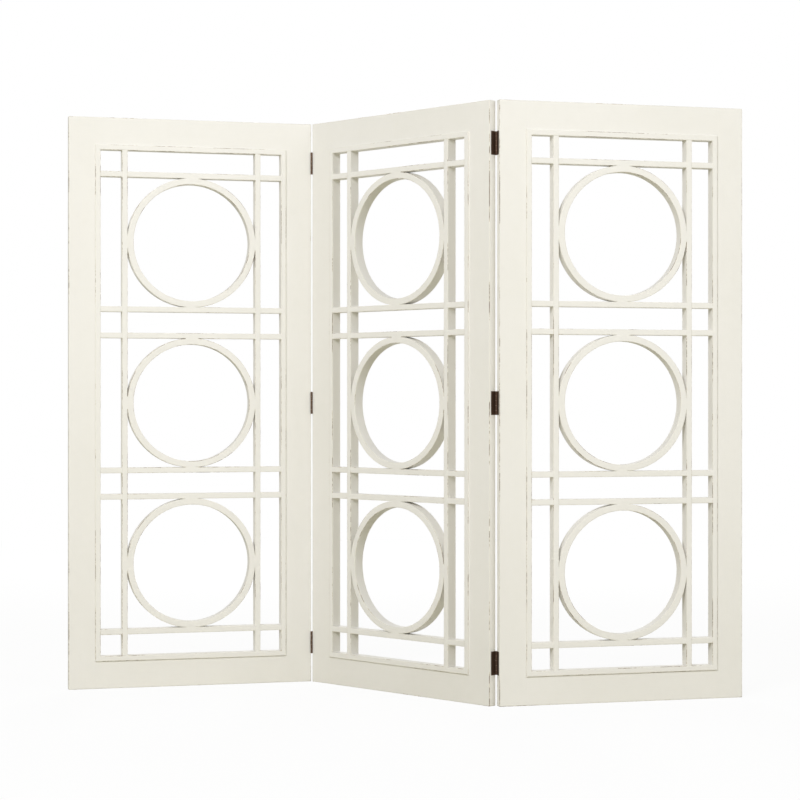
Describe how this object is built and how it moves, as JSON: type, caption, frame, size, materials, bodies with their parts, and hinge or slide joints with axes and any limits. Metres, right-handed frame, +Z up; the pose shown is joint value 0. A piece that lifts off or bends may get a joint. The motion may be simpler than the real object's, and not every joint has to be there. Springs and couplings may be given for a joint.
{
  "type": "folding room divider",
  "caption": "Folding room divider of hinged white painted wooden panels with open fretwork of bars and rings, standing in a zigzag on the floor.",
  "frame": {"origin": "on the floor, under the centre of the middle panel, which is the centre of the base of the whole divider's box", "axes": "+X to the right along the left and right panels, which are parallel; +Y away from the viewer, through the panels from front to back; +Z up"},
  "size_m": [1.9504, 0.7166, 1.778],
  "materials": {
    "frame_paint": "antique white paint on wood, satin, worn through in fine broken lines along the arrises",
    "lining_paint": "antique white paint on wood, satin, arrises rubbed",
    "bar_paint": "antique white paint on wood, satin, arrises rubbed",
    "ring_paint": "antique white paint on wood, satin, arrises rubbed",
    "hinge_bronze": "dark bronze, satin, slightly rubbed on the knuckles",
    "hinge_pin_steel": "darkened steel",
    "screw_bronze": "dark bronze, satin"
  },
  "bodies": {
    "middle_panel": {"hinge_pins": "hinge_pin_steel", "middle_panel_bottom_lining": "lining_paint", "middle_panel_bottom_rail": "frame_paint", "middle_panel_crossbar_1": "bar_paint", "middle_panel_crossbar_2": "bar_paint", "middle_panel_crossbar_3": "bar_paint", "middle_panel_crossbar_4": "bar_paint", "middle_panel_crossbar_5": "bar_paint", "middle_panel_crossbar_6": "bar_paint", "middle_panel_hinge_screws": "screw_bronze", "middle_panel_left_hinge_leaves": "hinge_bronze", "middle_panel_left_lining": "lining_paint", "middle_panel_left_stile": "frame_paint", "middle_panel_left_upright": "bar_paint", "middle_panel_right_hinge_leaves": "hinge_bronze", "middle_panel_right_lining": "lining_paint", "middle_panel_right_stile": "frame_paint", "middle_panel_right_upright": "bar_paint", "middle_panel_rings": "ring_paint", "middle_panel_top_lining": "lining_paint", "middle_panel_top_rail": "frame_paint"},
    "left_panel": {"left_panel_bottom_lining": "lining_paint", "left_panel_bottom_rail": "frame_paint", "left_panel_crossbar_1": "bar_paint", "left_panel_crossbar_2": "bar_paint", "left_panel_crossbar_3": "bar_paint", "left_panel_crossbar_4": "bar_paint", "left_panel_crossbar_5": "bar_paint", "left_panel_crossbar_6": "bar_paint", "left_panel_hinge_leaves": "hinge_bronze", "left_panel_hinge_screws": "screw_bronze", "left_panel_left_lining": "lining_paint", "left_panel_left_stile": "frame_paint", "left_panel_left_upright": "bar_paint", "left_panel_right_lining": "lining_paint", "left_panel_right_stile": "frame_paint", "left_panel_right_upright": "bar_paint", "left_panel_rings": "ring_paint", "left_panel_top_lining": "lining_paint", "left_panel_top_rail": "frame_paint"},
    "right_panel": {"right_panel_bottom_lining": "lining_paint", "right_panel_bottom_rail": "frame_paint", "right_panel_crossbar_1": "bar_paint", "right_panel_crossbar_2": "bar_paint", "right_panel_crossbar_3": "bar_paint", "right_panel_crossbar_4": "bar_paint", "right_panel_crossbar_5": "bar_paint", "right_panel_crossbar_6": "bar_paint", "right_panel_hinge_leaves": "hinge_bronze", "right_panel_hinge_screws": "screw_bronze", "right_panel_left_lining": "lining_paint", "right_panel_left_stile": "frame_paint", "right_panel_left_upright": "bar_paint", "right_panel_right_lining": "lining_paint", "right_panel_right_stile": "frame_paint", "right_panel_right_upright": "bar_paint", "right_panel_rings": "ring_paint", "right_panel_top_lining": "lining_paint", "right_panel_top_rail": "frame_paint"}
  },
  "joints": [
    {"name": "left_fold", "type": "hinge", "parent": "middle_panel", "child": "left_panel", "pos_m": [-0.20641, 0.3251, 0.889], "axis": [0, 0, 1], "range_deg": [-60, 118.5]},
    {"name": "right_fold", "type": "hinge", "parent": "middle_panel", "child": "right_panel", "pos_m": [0.20641, -0.3251, 0.889], "axis": [0, 0, 1], "range_deg": [-60, 118.5]}
  ]
}
